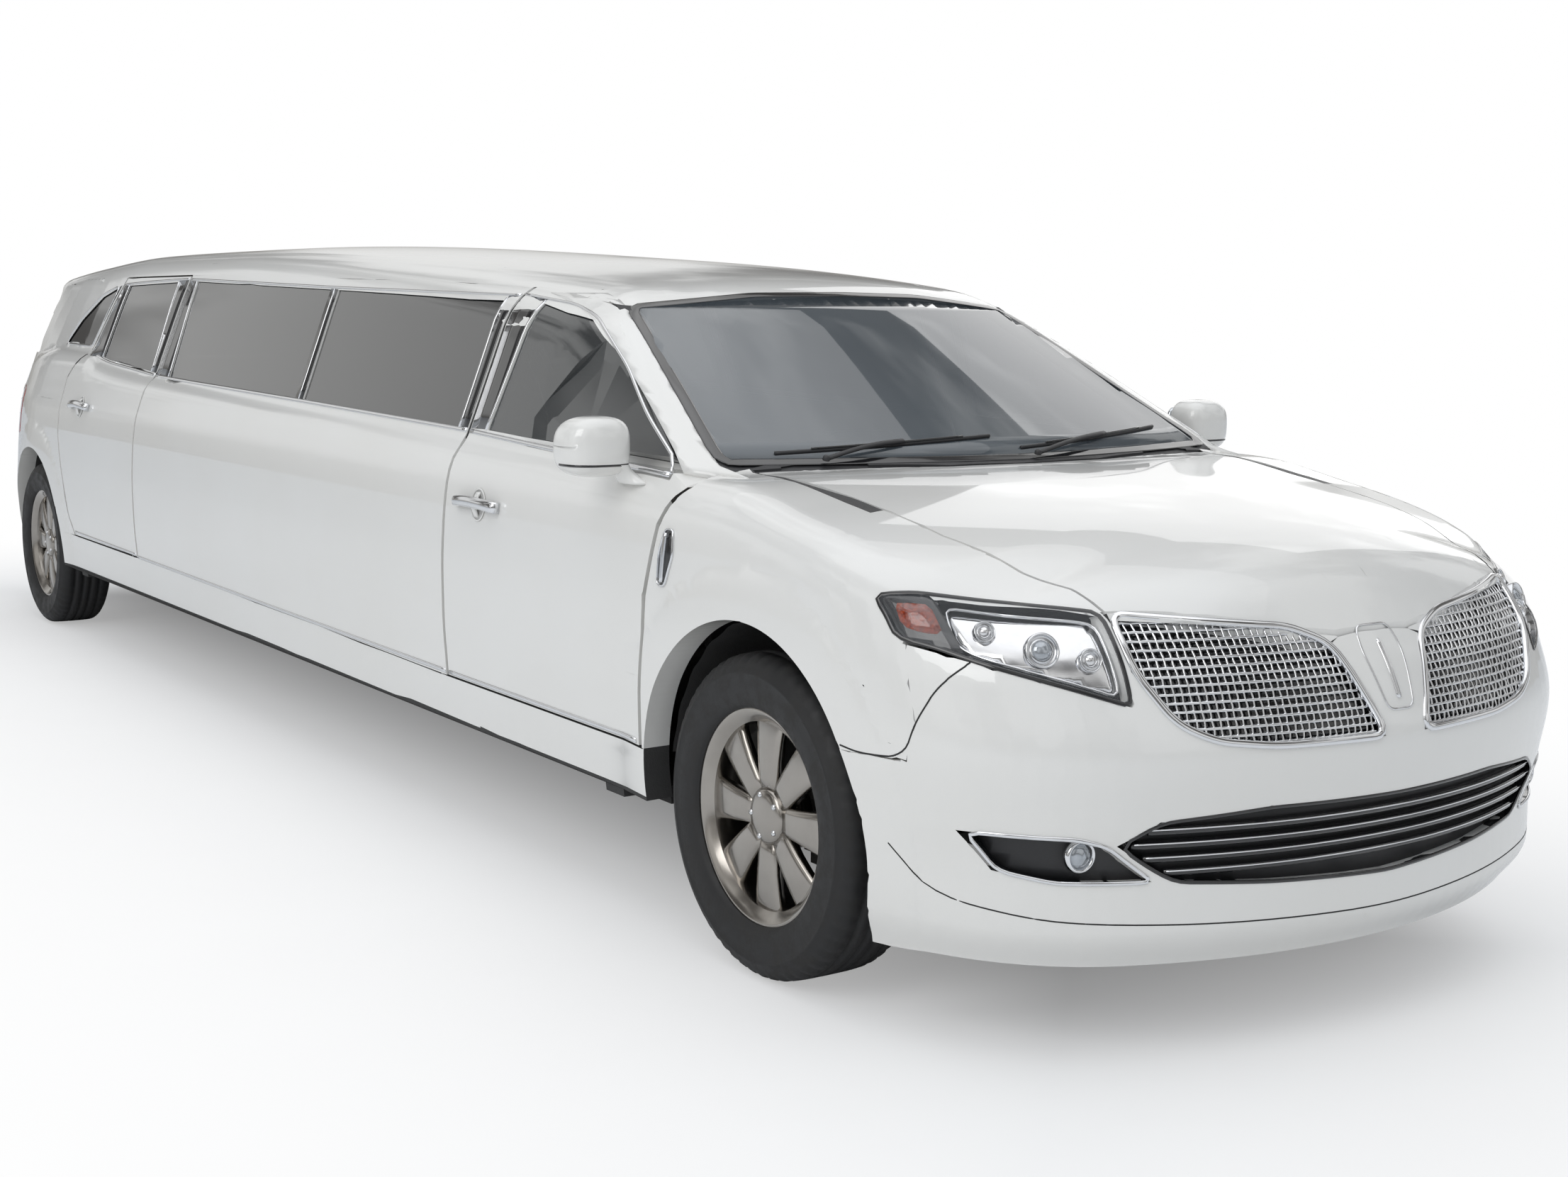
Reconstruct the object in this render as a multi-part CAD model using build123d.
from build123d import *
import math
import os

os.makedirs("parts", exist_ok=True)

# Stretch limousine on a large utility car. Millimetres, +Z up, the nose towards -Y.
# The wheelbase is the car's own plus the stretch between the front and rear doors.

# Driving sizes
wheelbase_before_cut = 2995.0
stretch = 3048.0
front_overhang = 1020.0
rear_overhang = 1258.0
height = 1712.0
half_width = 965.0
wheelbase = wheelbase_before_cut + stretch
length = front_overhang + wheelbase + rear_overhang
nose_y = -length / 2
tail_y = length / 2
front_axle_y = nose_y + front_overhang
rear_axle_y = tail_y - rear_overhang
axle_height = 370.0

# Walls, gaps and overrun
side_wall = 60.0
front_wall = 34.0
tail_wall = 46.0
top_wall = 30.0
shut_gap = 6.0
swing_gap = 13.0
seat_gap = 0.3
glass_wall = 6.0
glass_inset = 5.0
over = 400.0

# Lengths that the outlines follow
cab_front = 1560.0
cab_rear = 1600.0


def front_side(table):
    return [(front_axle_y + a * cab_front, b * height) for a, b in table]


def rear_side(table):
    return [(rear_axle_y + a * cab_rear, b * height) for a, b in table]


def nose_view(table):
    return [(a * half_width, b * height) for a, b in table]


def grown(points, gap):
    face = Polygon(*points, align=None)
    if gap:
        face = offset(face, amount=gap, kind=Kind.INTERSECTION)
    return face


def side_prism(points, gap=0, x_from=0, x_to=half_width + over):
    """Side outline (y, z) carried across from x_from to x_to."""
    plane = Plane(origin=(x_from, 0, 0), x_dir=(0, 1, 0), z_dir=(1, 0, 0))
    return extrude(plane * grown(points, gap), amount=x_to - x_from, dir=(1, 0, 0))


def end_prism(points, y_from, y_to, gap=0):
    """Outline seen from the nose or tail (x, z) carried from y_from to y_to."""
    plane = Plane(origin=(0, y_to, 0), x_dir=(1, 0, 0), z_dir=(0, -1, 0))
    return extrude(plane * grown(points, gap), amount=y_to - y_from, dir=(0, -1, 0))


def plan_prism(points, z_from, z_to, gap=0):
    """Outline seen from above (x, y) carried from z_from to z_to."""
    face = Plane.XY.offset(z_from) * grown(points, gap)
    return extrude(face, amount=z_to - z_from, dir=(0, 0, 1))


def block(x, y, z):
    """Box from three (low, high) pairs."""
    size = (x[1] - x[0], y[1] - y[0], z[1] - z[0])
    centre = ((x[0] + x[1]) / 2, (y[0] + y[1]) / 2, (z[0] + z[1]) / 2)
    return Pos(*centre) * Box(*size)


def rod_x(x_from, x_to, y, z, radius):
    rod = Cylinder(radius, x_to - x_from)
    return Pos((x_from + x_to) / 2, y, z) * Rot(0, 90, 0) * rod


def rod_z(x, y, z_from, z_to, radius):
    return Pos(x, y, (z_from + z_to) / 2) * Cylinder(radius, z_to - z_from)


def both(shape):
    return [shape, mirror(shape, about=Plane.YZ)]


def solids_of(shapes):
    found = []
    for shape in shapes if isinstance(shapes, (list, tuple)) else [shapes]:
        found += list(shape.solids())
    return found


def save(name, shapes, smallest=0):
    found = [s for s in solids_of(shapes) if s.volume > smallest]
    print(name, len(found), [round(s.volume / 1e3) for s in found])
    export_step(Compound(children=found) if len(found) > 1 else found[0],
                "parts/" + name + ".step")


# Lower body: plan slices. Columns: height, half width, nose inset, tail inset
body_slice_share = [
    (0.114, 0.938, 0.074, 0.119),
    (0.164, 0.969, 0.025, 0.056),
    (0.234, 0.982, 0.031, 0.024),
    (0.292, 0.990, 0.014, 0.004),
    (0.362, 0.998, 0.000, 0.000),
    (0.444, 1.000, 0.041, 0.026),
    (0.514, 0.995, 0.098, 0.045),
    (0.584, 0.982, 0.147, 0.060),
    (0.648, 0.948, 0.196, 0.075),
    (0.759, 0.881, 0.284, 0.110),
]
nose_arc_share = 0.642
nose_arc_run = 125.0
nose_corner_mid_share = (0.903, 0.517)
nose_corner_run = 644.0
taper_start_run = 1300.0
taper_mid_share = (0.955, 0.62)
taper_end_share = (0.829, 0.293)
tail_corner_mid_share = (0.762, 0.185)
tail_arc_share = (0.622, 0.085)


def plan_wire(z, half, nose, tail):
    """Closed plan of the lower body at one height, ten edges."""
    corner_y = nose + nose_corner_run
    nose_x = nose_arc_share * half

    def tail_point(share):
        return (share[0] * half, tail - share[1] * taper_start_run, z)

    right = [
        ((nose_x, nose + nose_arc_run, z),
         (nose_corner_mid_share[0] * half,
          nose + nose_corner_mid_share[1] * nose_corner_run, z),
         (half, corner_y, z)),
        ((half, corner_y, z), (half, tail - taper_start_run, z)),
        ((half, tail - taper_start_run, z), tail_point(taper_mid_share),
         tail_point(taper_end_share)),
        (tail_point(taper_end_share), tail_point(tail_corner_mid_share),
         tail_point(tail_arc_share)),
    ]
    left = [tuple((-x, y, zz) for x, y, zz in reversed(run)) for run in reversed(right)]
    runs = ([((-nose_x, nose + nose_arc_run, z), (0, nose, z),
              (nose_x, nose + nose_arc_run, z))] + right
            + [(tail_point(tail_arc_share), (0, tail, z),
                (-tail_arc_share[0] * half, tail - tail_arc_share[1] * taper_start_run, z))]
            + left)
    edges = [Edge.make_line(*r) if len(r) == 2 else Edge.make_three_point_arc(*r)
             for r in runs]
    return Wire(edges)


def lower_block(side_in=0, nose_in=0, tail_in=0):
    wires = []
    for z_share, half_share, nose_share, tail_share in body_slice_share:
        wires.append(plan_wire(z_share * height, half_share * half_width - side_in,
                               nose_y + nose_share * front_overhang + nose_in,
                               tail_y - tail_share * rear_overhang - tail_in))
    return Solid.make_loft(wires, ruled=True)


# Crown of the hood, belt and tail: centre height and drop at the body side.
# Columns: place from the front axle in overhangs, centre height, drop
hood_crown_share = [
    (-1.120, 0.350, 0.040),
    (-0.908, 0.505, 0.088),
    (-0.809, 0.564, 0.117),
    (-0.629, 0.606, 0.119),
    (-0.471, 0.622, 0.077),
    (-0.294, 0.635, 0.055),
    (-0.069, 0.645, 0.034),
    (0.196, 0.653, 0.012),
    (0.412, 0.657, 0.014),
]
# Columns: place from the rear axle in rear cab lengths, centre height, drop
belt_crown_share = [
    (-1.027, 0.710, 0.014),
    (-0.464, 0.733, 0.014),
    (-0.371, 0.755, 0.014),
    (-0.052, 0.755, 0.014),
    (0.223, 0.742, 0.014),
    (0.820, 0.700, 0.014),
]


def crown_wire(y, top, drop, x_edge, foot):
    edges = [
        Edge.make_three_point_arc((-x_edge, y, top - drop), (0, y, top),
                                  (x_edge, y, top - drop)),
        Edge.make_line((x_edge, y, top - drop), (x_edge, y, foot)),
        Edge.make_line((x_edge, y, foot), (-x_edge, y, foot)),
        Edge.make_line((-x_edge, y, foot), (-x_edge, y, top - drop)),
    ]
    return Wire(edges)


def belt_block(down=0):
    wires = []
    x_edge = half_width + shut_gap
    for y_share, z_share, drop_share in hood_crown_share:
        wires.append(crown_wire(front_axle_y + y_share * front_overhang,
                                z_share * height - down, drop_share * height, x_edge, -over))
    for y_share, z_share, drop_share in belt_crown_share:
        wires.append(crown_wire(rear_axle_y + y_share * cab_rear,
                                z_share * height - down, drop_share * height, x_edge, -over))
    return Solid.make_loft(wires, ruled=True)


# Cabin: plan slices. Columns: height, windscreen centre, windscreen corner half width,
# half width at the doors, half width at the tail post, tail glass half width,
# tail glass centre. The first follows the front cab, the last the rear cab.
cabin_slice_share = [
    (0.613, 0.031, 0.798, 0.950, 0.945, 0.655, 0.735),
    (0.701, 0.221, 0.752, 0.889, 0.880, 0.640, 0.678),
    (0.789, 0.410, 0.703, 0.828, 0.820, 0.630, 0.612),
    (0.865, 0.574, 0.661, 0.776, 0.768, 0.610, 0.535),
    (0.933, 0.721, 0.620, 0.729, 0.715, 0.600, 0.468),
    (1.010, 0.887, 0.570, 0.675, 0.655, 0.560, 0.390),
]
screen_sag = 150.0
pillar_run = 110.0
tail_post_y_share = -0.37
tail_mid_share = (0.93, 0.62)
tail_glass_sag = 95.0
screen_lean = 2.1
tail_lean = 1.3


def cabin_wire(z, screen_y, screen_x, door_x, post_x, tail_x, tail_glass_y, inset=0):
    """Closed plan of the cabin at one height, ten edges."""
    screen_y, tail_glass_y = screen_y + inset * screen_lean, tail_glass_y - inset * tail_lean
    screen_x, door_x, post_x, tail_x = (v - inset for v in (screen_x, door_x, post_x, tail_x))
    post_y = rear_axle_y + tail_post_y_share * cab_rear
    corner_y = screen_y + screen_sag
    tail_corner_y = tail_glass_y - tail_glass_sag
    mid = (tail_x + (post_x - tail_x) * tail_mid_share[0],
           post_y + (tail_corner_y - post_y) * tail_mid_share[1] / 1.15, z)
    right = [
        ((screen_x, corner_y, z), (door_x, corner_y + pillar_run, z)),
        ((door_x, corner_y + pillar_run, z), (post_x, post_y, z)),
        ((post_x, post_y, z), mid, (tail_x, tail_corner_y, z)),
    ]
    left = [tuple((-x, y, zz) for x, y, zz in reversed(run)) for run in reversed(right)]
    runs = ([((-screen_x, corner_y, z), (0, screen_y, z), (screen_x, corner_y, z))] + right
            + [((tail_x, tail_corner_y, z), (0, tail_glass_y, z), (-tail_x, tail_corner_y, z))]
            + left)
    edges = [Edge.make_line(*r) if len(r) == 2 else Edge.make_three_point_arc(*r)
             for r in runs]
    return Wire(edges)


def cabin_block(inset=0):
    wires = []
    for row in cabin_slice_share:
        z, screen, screen_x, door_x, post_x, tail_x, tail_glass = row
        wires.append(cabin_wire(z * height, front_axle_y + screen * cab_front,
                                screen_x * half_width, door_x * half_width,
                                post_x * half_width, tail_x * half_width,
                                rear_axle_y + tail_glass * cab_rear, inset))
    return Solid.make_loft(wires, ruled=True)


# Roof crown. Columns: place along the wheelbase from the front axle, centre height
roof_crown_share = [
    (-0.030, 0.760),
    (0.080, 0.846),
    (0.150, 0.886),
    (0.207, 0.926),
    (0.365, 0.963),
    (0.700, 1.000),
    (0.860, 0.998),
    (1.000, 0.975),
    (1.130, 0.938),
    (1.250, 0.890),
]
roof_flat_x = 540.0
roof_flat_drop = 30.0
roof_shoulder = (670.0, 62.0)
roof_edge = (745.0, 125.0)
roof_foot = (1080.0, 900.0)


def roof_wire(y, top):
    def at(side, point):
        return (side * point[0], y, top - point[1])

    flat = (roof_flat_x, roof_flat_drop)
    edges = [
        Edge.make_three_point_arc(at(-1, flat), (0, y, top), at(1, flat)),
        Edge.make_three_point_arc(at(1, flat), at(1, roof_shoulder), at(1, roof_edge)),
        Edge.make_line(at(1, roof_edge), at(1, roof_foot)),
        Edge.make_line(at(1, roof_foot), at(-1, roof_foot)),
        Edge.make_line(at(-1, roof_foot), at(-1, roof_edge)),
        Edge.make_three_point_arc(at(-1, roof_edge), at(-1, roof_shoulder), at(-1, flat)),
    ]
    return Wire(edges)


def roof_block(down=0):
    wires = [roof_wire(front_axle_y + y_share * wheelbase, z_share * height - down)
             for y_share, z_share in roof_crown_share]
    return Solid.make_loft(wires, ruled=True)


cabin_wall = 38.0
roof_wall = 34.0
outer = (lower_block() & belt_block()) + (cabin_block() & roof_block())
inner = ((lower_block(side_wall, front_wall, tail_wall) & belt_block(top_wall))
         + (cabin_block(cabin_wall) & roof_block(roof_wall)))
shell = outer - inner
print("shell", shell.volume / 1e9, len(shell.solids()), shell.bounding_box())

# Outlines in the side view. Columns: place from the front axle, height
front_door_share = [(0.295, 0.263), (0.282, 0.479), (0.256, 0.578), (0.212, 0.643),
                    (0.333, 0.701), (0.506, 0.794), (0.692, 0.873), (0.910, 0.897),
                    (0.997, 0.901), (1.000, 0.263)]
front_pane_share = [(0.301, 0.655), (0.542, 0.781), (0.719, 0.852), (0.904, 0.876),
                    (0.929, 0.672)]
bumper_seam_share = [(-0.231, 0.0), (-0.231, 0.352), (-0.355, 0.355), (-0.365, 0.400),
                     (-0.333, 0.491), (-0.321, 0.514), (-0.449, 0.525), (-0.513, 0.540)]
# Columns: place from the rear axle, height
rear_door_share = [(-0.964, 0.275), (-0.964, 0.929), (-0.427, 0.926), (-0.339, 0.742),
                   (-0.264, 0.672), (-0.277, 0.526), (-0.358, 0.321), (-0.402, 0.275)]
rear_pane_share = [(-0.914, 0.706), (-0.877, 0.914), (-0.471, 0.906), (-0.458, 0.728),
                   (-0.527, 0.722)]
quarter_pane_share = [(-0.316, 0.757), (-0.372, 0.900), (-0.264, 0.880), (-0.121, 0.820),
                      (-0.027, 0.757)]
tail_seam_share = [(0.223, 0.0), (0.223, 0.321), (0.361, 0.386), (1.100, 0.386),
                   (1.100, 0.0)]
# Roof seam. Columns: place along the wheelbase, height
roof_seam_share = [(0.366, 0.917), (0.7447, 0.929), (0.890, 0.926), (1.180, 0.900)]
# Stretch panes. Columns: place along the stretch from the front door, height
pane_count = 2
stretch_pane_share = [
    [(0.022, 0.669), (0.024, 0.880), (0.452, 0.896), (0.446, 0.684)],
    [(0.470, 0.685), (0.476, 0.897), (0.966, 0.915), (0.944, 0.697)],
]
# Outlines in the nose view. Columns: half widths from the middle, height
grille_share = [(0.060, 0.377), (0.143, 0.486), (0.238, 0.507), (0.477, 0.520),
                (0.628, 0.529), (0.627, 0.467), (0.565, 0.409), (0.487, 0.388),
                (0.353, 0.379)]
lamp_share = [(0.642, 0.530), (0.705, 0.534), (0.819, 0.539), (0.922, 0.546),
              (1.100, 0.541), (1.100, 0.492), (0.960, 0.490), (0.876, 0.473),
              (0.742, 0.448), (0.640, 0.428)]
intake_share = [(0.000, 0.303), (0.349, 0.305), (0.591, 0.295), (0.668, 0.268),
                (0.600, 0.240), (0.544, 0.221), (0.325, 0.212), (0.000, 0.204)]
fog_share = [(0.909, 0.279), (0.746, 0.277), (0.690, 0.268), (0.640, 0.245),
             (0.590, 0.223), (0.772, 0.223), (0.857, 0.234)]
screen_share = [(0.000, 0.664), (0.780, 0.668), (0.635, 0.876), (0.000, 0.893)]
tail_door_share = [(0.000, 0.386), (0.606, 0.386), (0.642, 0.467), (0.642, 1.100),
                   (0.000, 1.100)]
tail_pane_share = [(0.000, 0.690), (0.585, 0.700), (0.560, 0.880), (0.000, 0.895)]
tail_lamp_share = [(0.660, 0.500), (1.000, 0.505), (1.000, 0.620), (0.665, 0.628)]
# Hood from above. Columns: half widths from the middle, place in front overhangs
hood_plan_share = [(0.000, -0.912), (0.113, -0.910), (0.240, -0.892), (0.477, -0.822),
                   (0.628, -0.748), (0.642, -0.662), (0.684, -0.559), (0.725, -0.353),
                   (0.725, -0.029), (0.757, 0.300), (0.500, 0.235), (0.250, 0.180),
                   (0.000, 0.162)]

front_door_y = front_axle_y + cab_front
rear_door_y = rear_axle_y - 0.964 * cab_rear
hood_foot_z = 800.0
swing_room = 10.0
tail_swing_room = 14.0
arch_radius = 445.0
arch_inner_x = 480.0
rear_arch_inner_x = 640.0
side_from = 620.0
lamp_depth_share = 0.505


def full_width(table):
    """Nose outline that starts and ends on the middle, closed by its mirror."""
    points = nose_view(table)
    return points + [(-x, z) for x, z in reversed(points) if x > 0]


nose_zone = (nose_y - over, front_axle_y)
tail_zone = (rear_axle_y + 0.28 * cab_rear, tail_y + over)
lamp_end_y = front_axle_y - lamp_depth_share * front_overhang

front_door = front_side(front_door_share)
rear_door = rear_side(rear_door_share)
hood_plan = [(a * half_width, front_axle_y + b * front_overhang) for a, b in hood_plan_share]
hood_plan = hood_plan + [(-x, y) for x, y in reversed(hood_plan) if x > 0]
tail_hinge_y = rear_axle_y + 0.362 * cab_rear
stretch_run = rear_door_y - front_door_y
stretch_panes = [[(front_door_y + a * stretch_run, b * height) for a, b in pane]
                 for pane in stretch_pane_share]
roof_seam = [(front_axle_y + a * wheelbase, b * height) for a, b in roof_seam_share]


# Doors stop short of the windscreen post. Columns: half widths, height
door_limit_share = [(0.642, 0.0), (1.400, 0.0), (1.400, 1.0), (0.678, 1.0), (0.678, 0.888),
                    (0.835, 0.650), (0.642, 0.640)]


def door_solid(points, gap):
    """Door region on the left side, larger or smaller by gap all round."""
    limit = end_prism(nose_view(door_limit_share), nose_y, tail_y, gap)
    return side_prism(points, gap, side_from) & limit


def door_hole(points):
    hole = door_solid(points, shut_gap / 2)
    return [hole, Pos(0, -swing_room, 0) * hole, Pos(0, swing_room, 0) * hole]


def pair(shapes):
    return [m for s in shapes for m in both(s)]


hood_hole = plan_prism(hood_plan, hood_foot_z - shut_gap, height, shut_gap / 2)
hood_hole = hood_hole + Pos(0, swing_room, 0) * hood_hole
tail_door = full_width(tail_door_share)
tail_hole = end_prism(tail_door, tail_hinge_y - tail_swing_room / 2, tail_y + over, shut_gap / 2)
arches = [rod_x(arch_inner_x, half_width + over, front_axle_y, axle_height, arch_radius),
          rod_x(rear_arch_inner_x, half_width + over, rear_axle_y, axle_height, arch_radius)]
arches = pair(arches)
grille_holes = both(end_prism(nose_view(grille_share), *nose_zone))
lamp_holes = both(end_prism(nose_view(lamp_share), nose_zone[0], lamp_end_y))
fog_holes = both(end_prism(nose_view(fog_share), *nose_zone))
intake_hole = end_prism(full_width(intake_share), *nose_zone)
screen_hole = end_prism(full_width(screen_share), front_axle_y, front_door_y)
tail_lamp_holes = both(end_prism(nose_view(tail_lamp_share), *tail_zone))
tail_pane_hole = end_prism(full_width(tail_pane_share), *tail_zone)
window_holes = pair([side_prism(front_side(front_pane_share), 0, side_from),
                     side_prism(rear_side(rear_pane_share), 0, side_from)])
fixed_holes = pair([side_prism(p, 0, side_from) for p in stretch_panes]
                   + [side_prism(rear_side(quarter_pane_share), 0, side_from)])

body = (shell - pair(door_hole(front_door)) - pair(door_hole(rear_door)) - hood_hole
        - tail_hole - arches - grille_holes - lamp_holes - fog_holes - intake_hole
        - screen_hole - tail_lamp_holes - fixed_holes)
print("body", body.volume / 1e9, len(body.solids()))

# Side view regions of the fixed panels
seam = front_side(bumper_seam_share)
far_front, far_rear = nose_y - over, tail_y + over
bumper_zone = seam + [(far_front, seam[-1][1]), (far_front, 0)]
tail_bumper_zone = rear_side(tail_seam_share)
cowl_top_share = 0.663
cowl_front_share = 0.10
cowl_corner = (front_door[3][0] - shut_gap, cowl_top_share * height)
cowl_front_y = front_door[3][0] - cowl_front_share * cab_front
roof_zone = (front_door[3:8] + roof_seam
             + [(far_rear, roof_seam[-1][1]), (far_rear, height + over),
                (cowl_front_y, height + over), (cowl_front_y, cowl_corner[1]), cowl_corner])
sill_zone = [(front_axle_y, 0), (rear_axle_y, 0), (rear_axle_y, rear_door[0][1]),
             rear_door[0], front_door[-1], (front_axle_y, front_door[0][1])]

wide = half_width + over
roof_prism = side_prism(roof_zone, 0, -wide, wide)
bumper_prism = side_prism(bumper_zone, 0, -wide, wide)
tail_bumper_prism = side_prism(tail_bumper_zone, 0, -wide, wide)
sill_prism = side_prism(sill_zone, 0, -wide, wide)
roof = body & roof_prism
rest = body - roof_prism
front_bumper = rest & bumper_prism
rear_bumper = rest & tail_bumper_prism
rest = rest - bumper_prism - tail_bumper_prism
sill_foot = 320.0
sills = rest & sill_prism & block((-wide, wide), (nose_y, tail_y), (sill_foot, height))
rest = rest - sill_prism

smallest = 50000.0
cowl_half_share = 0.765
cowl_half = cowl_half_share * half_width
cowl = rest & block((-cowl_half, cowl_half), (front_axle_y - cab_front * 0.1, front_door_y),
                    (hood_foot_z, height))
rest = rest - block((-cowl_half, cowl_half), (front_axle_y - cab_front * 0.1, front_door_y),
                    (hood_foot_z, height))

panels = {}
middle_y = (front_door_y + rear_door_y) / 2
for s in rest.solids():
    if s.volume < smallest:
        continue
    c = s.center()
    box = s.bounding_box()
    side = "left" if c.X > 0 else "right"
    if box.min.Z > front_door[3][1]:
        name = "pillar_"
    elif c.Y < front_door_y - cab_front / 2:
        name = "fender_"
    elif c.Y < rear_door_y:
        name = "side_panel_"
    else:
        name = "quarter_panel_"
    panels.setdefault(name + side, []).append(s)
    print(name + side, [round(v) for v in (box.min.X, box.max.X, box.min.Y, box.max.Y,
                                           box.min.Z, box.max.Z)], round(s.volume / 1e3))

# Hood trunnions stand on the fenders, the tailgate's on lugs of the roof
pin_radius = 6.0
pin_height = 40.0
pin_run = 60.0
pin_x = 931.0
hood_pin_run = 32.0
hood_pin_drop = 26.0
hood_pin_length = 40.0
hood_corner = max(hood_plan, key=lambda point: (point[1], point[0]))
hood_pin_y = hood_corner[1] - hood_pin_run
hood_pin_z = 1110.0 - hood_pin_drop + 10.0
hood_pin = rod_x(hood_corner[0] - hood_pin_length, cowl_half + hood_pin_length / 2,
                 hood_pin_y, hood_pin_z, pin_radius)
tail_pin_radius = 4.0
tail_pin_run = 18.0
tail_pin_z = 1607.0
tail_pin_x = 250.0
tail_pin_length = 90.0
tail_pin_y = tail_hinge_y + tail_pin_run
lug_width = 20.0
lug_gap = 8.0
tail_pin = rod_x(tail_pin_x - tail_pin_length / 2, tail_pin_x + tail_pin_length / 2, tail_pin_y,
                 tail_pin_z, tail_pin_radius)
tail_lug = block((tail_pin_x - lug_width / 2, tail_pin_x + lug_width / 2),
                 (tail_hinge_y - tail_swing_room, tail_pin_y),
                 (tail_pin_z - tail_pin_radius, tail_pin_z + tail_pin_radius))
tail_slot = block((tail_pin_x - lug_width / 2 - lug_gap, tail_pin_x + lug_width / 2 + lug_gap),
                  (tail_hinge_y, tail_pin_y + tail_pin_run), (tail_pin_z - 2 * lug_gap, height))
sill_pins = [rod_z(pin_x, points[0][0] + pin_run, points[0][1] - pin_height / 2,
                   points[0][1] + pin_height, pin_radius)
             for points in (front_door, rear_door)]

pillars = panels.pop("pillar_left", []) + panels.pop("pillar_right", [])
for name, found in panels.items():
    if name.startswith("fender"):
        pin = hood_pin if name.endswith("left") else mirror(hood_pin, about=Plane.YZ)
        found = [found[0] + pin]
    save(name, found)
roof = max(roof.solids(), key=lambda s: s.volume)
post_swing_radius = 200.0
post_swing_z = (1095.0, 1180.0)
post_room = rod_z(pin_x, front_door[0][0] + pin_run, *post_swing_z, post_swing_radius)
roof = max((roof - both(post_room)).solids(), key=lambda s: s.volume)
pillars = [p - both(post_room) for p in pillars]
save("roof", roof + both(tail_lug + tail_pin) + pillars, smallest)
save("front_bumper", front_bumper, smallest)
save("rear_bumper", rear_bumper, smallest)
pad_x = (885.0, 935.0)
pad_length = 90.0
pad_foot = 300.0
pad_y = (front_door[0][0] + 160.0, rear_door[0][0] + 820.0)
pads = [block(pad_x, (y - pad_length / 2, y + pad_length / 2), (pad_foot, sill_foot + seat_gap))
        for y in pad_y]
save("sills", sills + pair(sill_pins) + pair(pads), smallest)

# Glass layer under the outer skin
glass_layer = ((cabin_block(glass_inset) & roof_block(glass_inset))
               - (cabin_block(glass_inset + glass_wall) & roof_block(glass_inset + glass_wall)))
save("windscreen", glass_layer & end_prism(full_width(screen_share), front_axle_y, front_door_y,
                                           -seat_gap), smallest)
fixed_panes = [glass_layer & side_prism(p, -seat_gap, side_from) for p in
               stretch_panes + [rear_side(quarter_pane_share)]]
save("fixed_glass", pair(fixed_panes), smallest)
tail_glass = glass_layer & end_prism(full_width(tail_pane_share), *tail_zone, -seat_gap)
save("rear_window", tail_glass, smallest)

# Doors, each with a bore for the pivot pin in the sill
sides = {"left": 1, "right": -1}
doors = {"front_door_": (front_door, front_side(front_pane_share)),
         "rear_door_": (rear_door, rear_side(rear_pane_share))}
for name, (points, pane) in doors.items():
    door = shell & door_solid(points, -shut_gap / 2)
    door = max(door.solids(), key=lambda s: s.volume)
    door = door - side_prism(pane, 0, side_from)
    foot_z = points[0][1]
    pin_y = points[0][0] + pin_run
    door = door - rod_z(pin_x, pin_y, foot_z, foot_z + pin_height + seat_gap,
                        pin_radius + seat_gap)
    glass = glass_layer & side_prism(pane, -seat_gap, side_from)
    for side, sign in sides.items():
        place = (lambda s: s) if sign > 0 else (lambda s: mirror(s, about=Plane.YZ))
        save(name + side, place(door), smallest)
        save(name.replace("door", "door_glass") + side, place(glass), smallest)

# Hood and tailgate
hood = shell & plan_prism(hood_plan, hood_foot_z, height, -shut_gap / 2)
hood_bore = rod_x(hood_corner[0] - hood_pin_length - shut_gap, half_width, hood_pin_y,
                  hood_pin_z, pin_radius + seat_gap)
save("hood", hood - both(hood_bore), smallest)
tail_gate = shell & end_prism(tail_door, tail_hinge_y + tail_swing_room / 2, tail_y + over,
                              -shut_gap / 2)
tail_bore = rod_x(tail_pin_x - tail_pin_length / 2 - shut_gap,
                  tail_pin_x + tail_pin_length / 2 + shut_gap, tail_pin_y, tail_pin_z,
                  tail_pin_radius + seat_gap)
save("tailgate", tail_gate - tail_pane_hole - both(tail_bore) - both(tail_slot), smallest)

# Lamps and grilles
save("headlamps", [shell & h for h in lamp_holes], smallest)
save("tail_lamps", [shell & h for h in tail_lamp_holes], smallest)
save("grille", [(shell & h) - hood_hole for h in grille_holes], smallest)
save("lower_grille", [shell & h for h in [intake_hole] + fog_holes], smallest)
hood_swing_radius = 42.0
hood_swing_x = (450.0, 665.0)
hood_room = rod_x(*hood_swing_x, hood_pin_y, hood_pin_z, hood_swing_radius)
save("cowl", cowl - both(rod_x(hood_corner[0] - hood_pin_length, half_width, hood_pin_y,
                               hood_pin_z, pin_radius + seat_gap)) - both(hood_room), smallest)

# Floor, with a raised rim at the wheel houses, and the bulkhead behind the engine
floor_z = 300.0
floor_thick = 45.0
floor_top = floor_z + floor_thick
bulkhead_y = front_axle_y + arch_radius + shut_gap
bulkhead_thick = 30.0
bulkhead_top = 1040.0
floor_rear_y = tail_y - 190.0
house_wall = 14.0
inside = inner
floor = inside & block((-wide, wide), (bulkhead_y, floor_rear_y), (floor_z, floor_top))
bulkhead_half = 765.0
bulkhead = inside & block((-bulkhead_half, bulkhead_half),
                          (bulkhead_y, bulkhead_y + bulkhead_thick), (floor_top, bulkhead_top))
rear_house = rod_x(rear_arch_inner_x - house_wall, half_width + over, rear_axle_y, axle_height,
                   arch_radius + house_wall)
houses = (inside & rear_house & block((0, wide), (front_axle_y, tail_y), (floor_top, height)))
houses = houses - arches[2]
floor = floor - arches
arm_inner_x = 330.0
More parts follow.
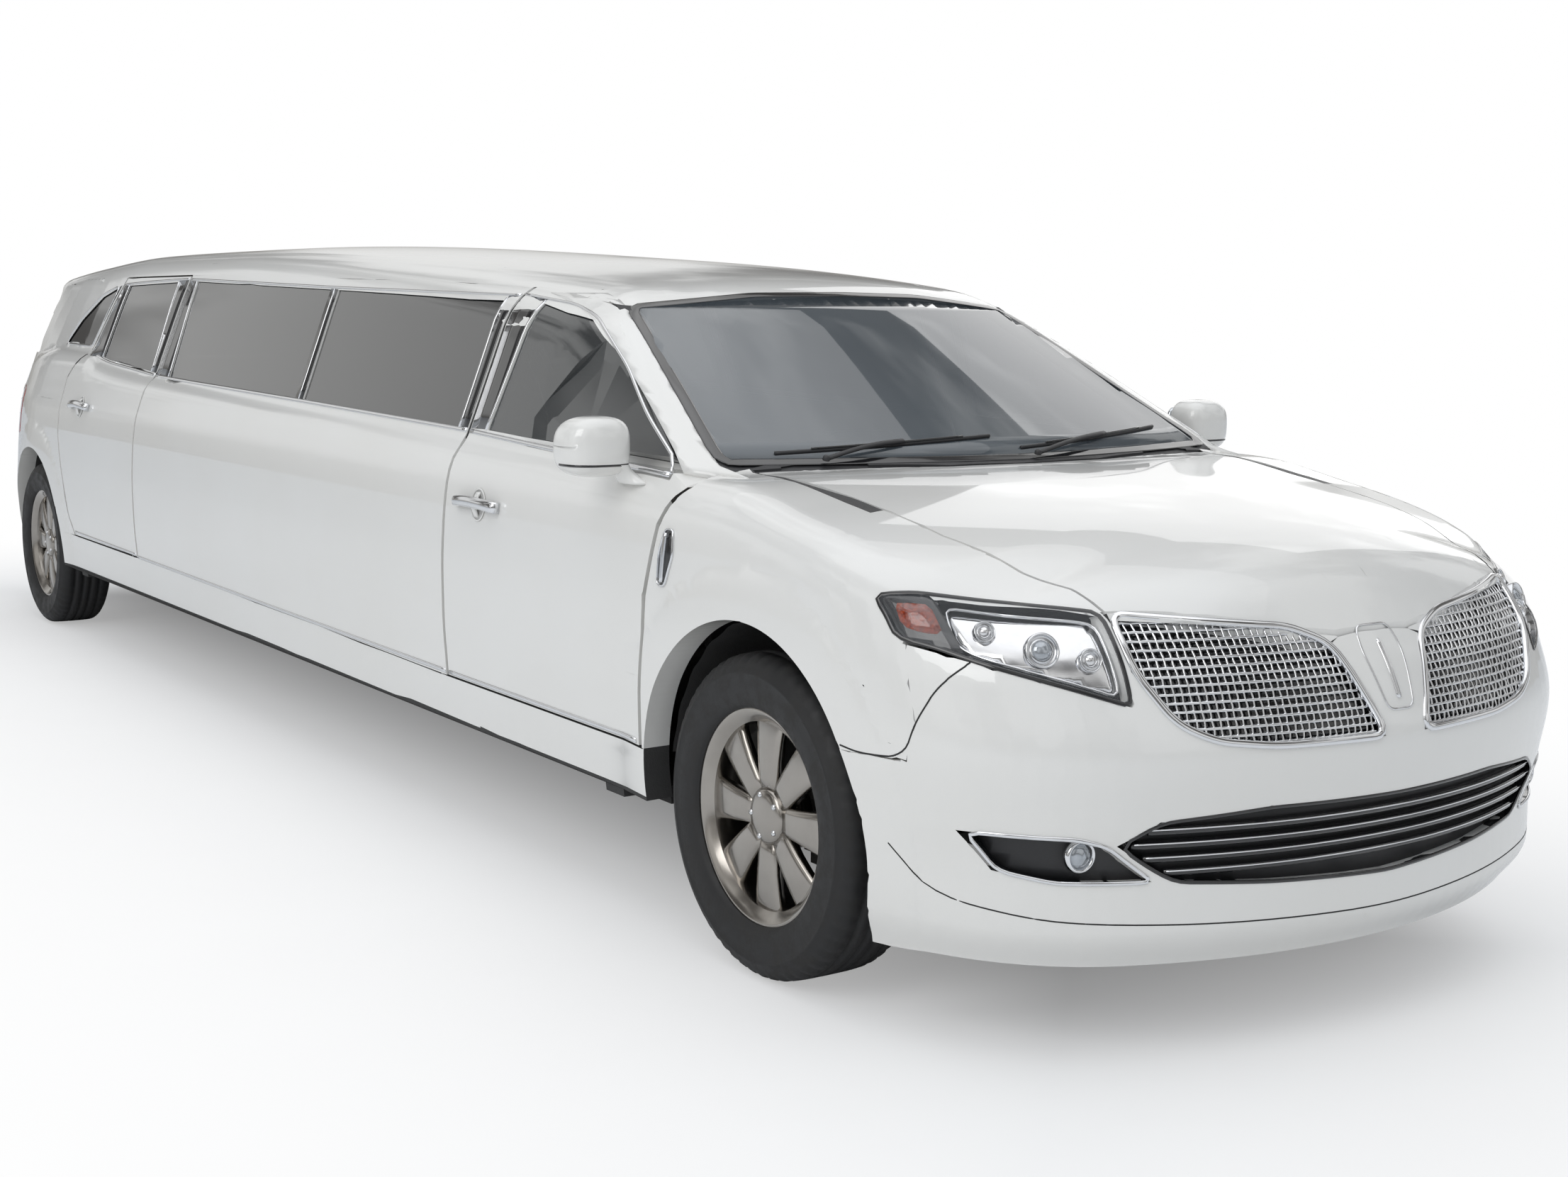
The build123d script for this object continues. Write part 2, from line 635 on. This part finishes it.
rail_width = 70.0
rail_z = (300.0, 440.0)
rail_front_y = front_axle_y - 860.0
rail = block((arm_inner_x + seat_gap, arm_inner_x + rail_width),
             (rail_front_y, bulkhead_y + bulkhead_thick), rail_z)
save("floor_pan", [floor + bulkhead + both(rail)] + both(houses), smallest)

# Wheels: one profile for the rim, one for the tyre, spokes repeated round the hub
tyre_radius = 370.0
tyre_width = 235.0
tyre_shoulder = 26.0
bead_radius = 229.0
rim_radius = 247.0
rim_width = 224.0
rim_wall = 9.0
track_half = 828.0
spoke_count = 8
spoke_width = 58.0
spoke_thick = 26.0
spoke_inset = 22.0
hub_radius = 74.0
hub_thick = 60.0
cap_radius = 36.0
bore_radius = 24.0


def revolved(points):
    """Ring about the X axis from (x, radius) points."""
    return revolve(Plane.XY * Polygon(*points, align=None), Axis.X)


half_rim = rim_width / 2
half_tyre = tyre_width / 2
rim_ring = revolved([
    (-half_rim, bead_radius - rim_wall), (half_rim, bead_radius - rim_wall),
    (half_rim, rim_radius), (half_rim - rim_wall, rim_radius),
    (half_rim - rim_wall, bead_radius), (-half_rim + rim_wall, bead_radius),
    (-half_rim + rim_wall, rim_radius), (-half_rim, rim_radius)])
bead_x = half_rim - rim_wall - seat_gap
belly_x = half_tyre
tyre_ring = revolved([
    (-bead_x, bead_radius + seat_gap), (bead_x, bead_radius + seat_gap),
    (bead_x, rim_radius + seat_gap), (belly_x, rim_radius + tyre_shoulder),
    (belly_x, tyre_radius - tyre_shoulder), (belly_x - tyre_shoulder, tyre_radius),
    (-belly_x + tyre_shoulder, tyre_radius), (-belly_x, tyre_radius - tyre_shoulder),
    (-belly_x, rim_radius + tyre_shoulder), (-bead_x, rim_radius + seat_gap)])
spoke_x = half_rim - spoke_inset
spoke = block((spoke_x - spoke_thick, spoke_x), (-spoke_width / 2, spoke_width / 2),
              (0, bead_radius - rim_wall / 2))
rim = rim_ring + rod_x(spoke_x - hub_thick, spoke_x, 0, 0, hub_radius)
for i in range(spoke_count):
    rim = rim + Rot(i * 360 / spoke_count, 0, 0) * spoke
rim = rim - rod_x(spoke_x - hub_thick, spoke_x - spoke_thick, 0, 0, bore_radius)
wheels = {"front_left": (1, front_axle_y), "front_right": (-1, front_axle_y),
          "rear_left": (1, rear_axle_y), "rear_right": (-1, rear_axle_y)}
for name, (sign, y) in wheels.items():
    for kind, ring in (("rim_", rim), ("tyre_", tyre_ring)):
        ring = ring if sign > 0 else mirror(ring, about=Plane.YZ)
        save(kind + name, Pos(sign * track_half, y, axle_height) * ring)

# Knuckles carry the wheels on a stub in the hub's bore
kingpin_x = 745.0
knuckle_thick = 40.0
knuckle_depth = 90.0
knuckle_low, knuckle_high = axle_height - 105.0, axle_height + 105.0
stub_radius = bore_radius - seat_gap
stub_end = track_half + spoke_x - spoke_thick - shut_gap
knuckle = block((kingpin_x - knuckle_thick / 2, kingpin_x + knuckle_thick / 2),
                (-knuckle_depth / 2, knuckle_depth / 2), (knuckle_low, knuckle_high))
knuckle = knuckle + rod_x(kingpin_x, stub_end, 0, axle_height, stub_radius)
ball_radius = 12.0
ball_height = 22.0
ball_bore = [rod_z(kingpin_x, 0, knuckle_low, knuckle_low + ball_height, ball_radius + seat_gap),
             rod_z(kingpin_x, 0, knuckle_high - ball_height, knuckle_high,
                   ball_radius + seat_gap)]
front_knuckle = Pos(0, front_axle_y, 0) * (knuckle - ball_bore)
save("knuckle_left", front_knuckle)
save("knuckle_right", mirror(front_knuckle, about=Plane.YZ))

# Arms from the cross member to the knuckles, front and rear
arm_depth = 60.0
arm_thick = 26.0
member_depth = 160.0
member_low = 230.0
arm_gap = 3.0


def suspension(y, upper=True):
    low = block((arm_inner_x, kingpin_x + ball_radius), (-arm_depth / 2, arm_depth / 2),
                (knuckle_low - arm_gap - arm_thick, knuckle_low - arm_gap))
    high = block((arm_inner_x, kingpin_x + ball_radius), (-arm_depth / 2, arm_depth / 2),
                 (knuckle_high + arm_gap, knuckle_high + arm_gap + arm_thick))
    pegs = [rod_z(kingpin_x, 0, knuckle_low - arm_gap - arm_thick / 2,
                  knuckle_low + ball_height - seat_gap, ball_radius),
            rod_z(kingpin_x, 0, knuckle_high - ball_height + seat_gap,
                  knuckle_high + arm_gap + arm_thick / 2, ball_radius)]
    if not upper:
        member = block((-arm_inner_x, arm_inner_x), (-member_depth / 2, member_depth / 2),
                       (member_low, floor_z - seat_gap))
        return Pos(0, y, 0) * (member + both(low + pegs[0]))
    side = low + high + pegs
    member = block((-arm_inner_x, arm_inner_x), (-member_depth / 2, member_depth / 2),
                   (member_low, knuckle_low))
    posts = block((arm_inner_x - arm_depth, arm_inner_x), (-arm_depth / 2, arm_depth / 2),
                  (member_low, knuckle_high + arm_gap + arm_thick))
    return Pos(0, y, 0) * (member + both(side + posts))


save("front_suspension", suspension(front_axle_y))
rear_knuckles = both(Pos(0, rear_axle_y, 0) * knuckle)
save("rear_suspension", suspension(rear_axle_y, False) + rear_knuckles)

# Engine, one plain block on the front cross member
engine_half = 260.0
engine_front, engine_rear = front_axle_y - 440.0, front_axle_y + 380.0
engine_top = 900.0
engine = block((-engine_half, engine_half), (engine_front, engine_rear),
               (knuckle_low, engine_top))
save("engine", engine - suspension(front_axle_y))

# Seats, lounge and dashboard on the floor
seat_low = floor_top + seat_gap
seat_height = 270.0
seat_back = 620.0
seat_thick = 150.0
front_seat_x = 390.0
front_seat_width = 500.0
front_seat_depth = 520.0
front_seat_y = front_door_y - 560.0


def seat(x_low, x_high, y_low, y_high, back_at_rear=True):
    pan = block((x_low, x_high), (y_low, y_high), (seat_low, seat_low + seat_height))
    back = block((x_low, x_high), (y_high - seat_thick, y_high), (seat_low, seat_low + seat_back))
    return pan + back


front_seat = seat(front_seat_x - front_seat_width / 2, front_seat_x + front_seat_width / 2,
                  front_seat_y, front_seat_y + front_seat_depth)
save("front_seats", both(front_seat))
lounge_wall_x = 800.0
lounge_depth = 480.0
lounge_y = (front_door_y + 240.0, rear_door_y - 60.0)
bench = block((lounge_wall_x - lounge_depth, lounge_wall_x), lounge_y,
              (seat_low, seat_low + seat_height))
bench_back = block((lounge_wall_x - seat_thick, lounge_wall_x), lounge_y,
                   (seat_low, seat_low + seat_back))
save("lounge_seat", bench + bench_back)
rear_seat_half = 600.0
rear_seat_y = (rear_door_y + 640.0, rear_door_y + 1180.0)
save("rear_seat", seat(-rear_seat_half, rear_seat_half, *rear_seat_y))
bar_depth = 260.0
bar_height = 480.0
save("bar_console", block((-lounge_wall_x, bar_depth - lounge_wall_x), lounge_y,
                          (floor_top, floor_top + bar_height)))
dash_half = 740.0
dash_depth = 260.0
dash_top = bulkhead_top
dash_y = bulkhead_y + bulkhead_thick
dash_low = 780.0
save("dashboard", block((-dash_half, dash_half), (dash_y, dash_y + dash_depth),
                        (dash_low, dash_top)))
steer_radius = 185.0
steer_rim = 16.0
steer_tilt = -65.0
steer_y = dash_y + dash_depth + 130.0
steer_z = 960.0
column_radius = 26.0
steering = Torus(steer_radius - steer_rim, steer_rim) + Cylinder(column_radius * 2, steer_rim)
for i in range(3):
    steering = steering + (Rot(0, 0, 90 + i * 120) * Pos(steer_radius / 2, 0, 0)
                           * Box(steer_radius - steer_rim, column_radius, steer_rim / 2))
place = Pos(front_seat_x, steer_y, steer_z) * Rot(steer_tilt, 0, 0)
steering = place * steering
column = place * Pos(0, 0, -100) * Cylinder(column_radius, 200)
dash_box = block((-dash_half, dash_half), (dash_y, dash_y + dash_depth), (dash_low, dash_top))
save("steering_wheel", steering + (column - dash_box))

# Exhaust and fuel tank under the floor
tank_half = 420.0
tank_y = (rear_axle_y + 200.0, rear_axle_y + 700.0)
tank_low = 215.0
save("fuel_tank", block((-tank_half, tank_half), tank_y, (tank_low, floor_z)))

# Door mirrors on feet that stand on the front doors
mirror_x = (925.0, 1085.0)
mirror_y = (front_axle_y + 530.0, front_axle_y + 670.0)
mirror_z = (1085.0, 1235.0)
mirror_fillet = 40.0
mirror_head = fillet(block(mirror_x, mirror_y, mirror_z).edges(), mirror_fillet)
mirror_foot = block((900.0, 985.0), (mirror_y[0] + 40.0, mirror_y[1] - 30.0), (1060.0, 1100.0))
mirror_left = mirror_head + mirror_foot - (lower_block() & belt_block()) - cabin_block()
save("mirror_left", max(mirror_left.solids(), key=lambda s: s.volume))
save("mirror_right", mirror(max(mirror_left.solids(), key=lambda s: s.volume), about=Plane.YZ))
